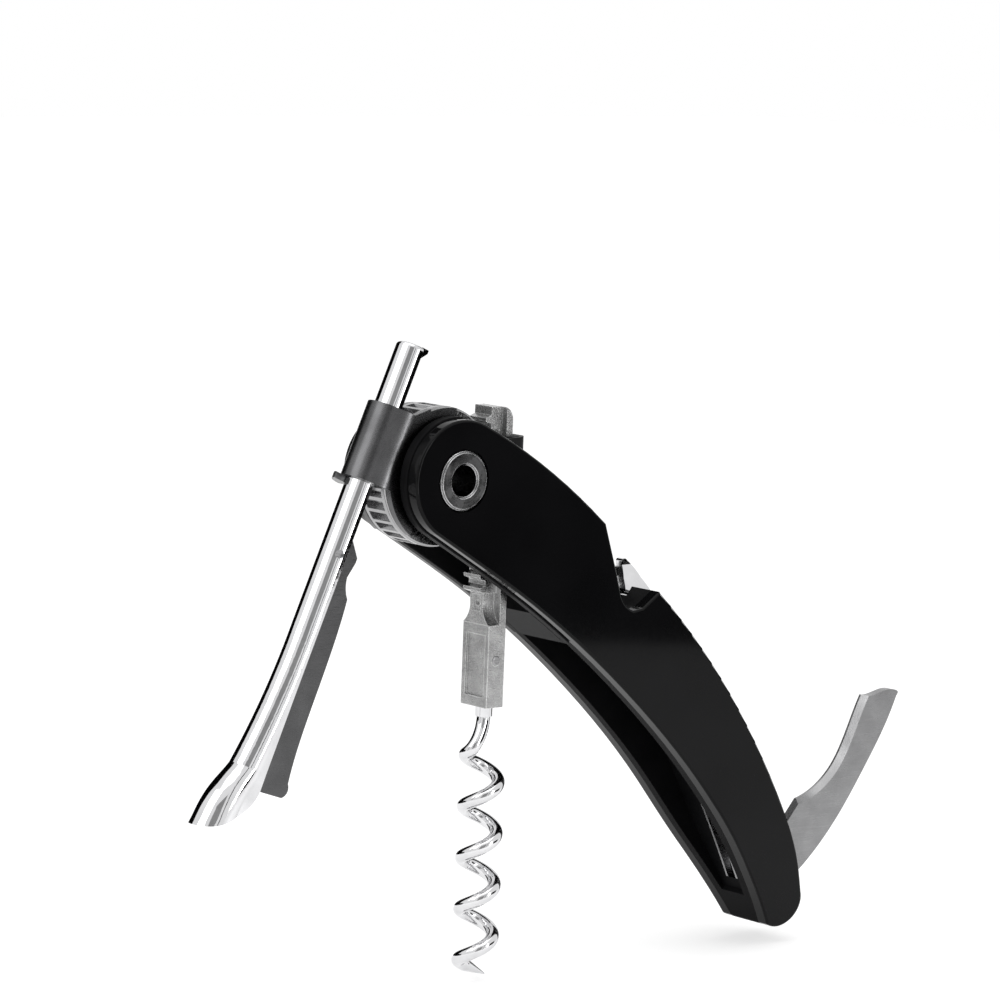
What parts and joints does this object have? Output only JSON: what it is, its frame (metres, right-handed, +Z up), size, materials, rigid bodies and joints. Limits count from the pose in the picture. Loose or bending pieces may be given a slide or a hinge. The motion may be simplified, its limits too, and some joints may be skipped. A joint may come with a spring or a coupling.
{
  "type": "lever corkscrew",
  "caption": "Lever corkscrew with a curved two-plate handle, a geared rack that carries the worm, and a sliding leg that stands on the bottle lip.",
  "frame": {"origin": "centre of the hollow axle, in the middle plane of the handle", "axes": "+Y along the axle, away from the side shown in the picture; +Z up along the rack and worm, whose tip points down; +X from the axle towards the handle's tail"},
  "size_m": [0.1822, 0.0226, 0.1252],
  "materials": {
    "cheek_lacquer": "gloss",
    "housing_black": "satin",
    "spine_black": "satin",
    "dowel_steel": "brushed",
    "claw_chrome": "polished",
    "ring_steel": "brushed",
    "pin_steel": "brushed",
    "knife_steel": "satin",
    "guide_black": "satin",
    "shoe_plastic": "matte",
    "wheel_chrome": "polished",
    "rack_chrome": "satin",
    "worm_chrome": "polished",
    "collar_grey": "satin",
    "catch_steel": "satin",
    "rod_chrome": "polished",
    "foot_chrome": "polished",
    "jaw_steel": "satin"
  },
  "bodies": {
    "handle": {"near_cheek": "cheek_lacquer", "far_cheek": "cheek_lacquer", "housing": "housing_black", "spine": "spine_black", "cheek_dowels": "dowel_steel", "cap_lifter": "claw_chrome", "axle_tube": "ring_steel", "axle_ring": "ring_steel", "knife_pin": "pin_steel", "knife_liners": "pin_steel"},
    "tail_knife": {"tail_knife": "knife_steel"},
    "rack_guide": {"rack_guide": "guide_black", "guide_shoe": "shoe_plastic"},
    "gear_wheel": {"gear_wheel": "wheel_chrome", "wheel_flanges": "wheel_chrome"},
    "rack": {"rack": "rack_chrome", "worm": "worm_chrome", "worm_pin": "pin_steel"},
    "collar": {"collar": "collar_grey", "collar_catch": "catch_steel"},
    "support_rod": {"support_rod": "rod_chrome", "rod_foot": "foot_chrome", "jaw_pin": "pin_steel"},
    "lip_jaw": {"lip_jaw": "jaw_steel"}
  },
  "joints": [
    {"name": "lever_pivot", "type": "hinge", "parent": "handle", "child": "rack_guide", "pos_m": [0, 0, 0], "axis": [0, 1, 0], "range_deg": [0, 56.25]},
    {"name": "wheel_spin", "type": "hinge", "parent": "rack_guide", "child": "gear_wheel", "pos_m": [0, 0, 0], "axis": [0, 1, 0], "range_deg": [-101.25, 33.75]},
    {"name": "rack_slide", "type": "slide", "parent": "rack_guide", "child": "rack", "axis": [0, 0, 1], "range_m": [-0.00754, 0.02262]},
    {"name": "collar_swing", "type": "hinge", "parent": "rack_guide", "child": "collar", "pos_m": [0, 0, 0], "axis": [0, 1, 0], "range_deg": [-36, 10]},
    {"name": "leg_slide", "type": "slide", "parent": "collar", "child": "support_rod", "axis": [0.4067, 0, 0.9135], "range_m": [-0.008, 0.008]},
    {"name": "jaw_swing", "type": "hinge", "parent": "support_rod", "child": "lip_jaw", "pos_m": [-0.02263, 0, -0.01346], "axis": [0, 1, 0], "range_deg": [0, 3]},
    {"name": "knife_fold", "type": "hinge", "parent": "handle", "child": "tail_knife", "pos_m": [0.0895, 0, -0.0835], "axis": [0, 1, 0], "range_deg": [-88, 0]}
  ],
  "couplings": [
    {"joint": "rack_slide", "follows": "wheel_spin", "m_per_rad": -0.0128}
  ]
}
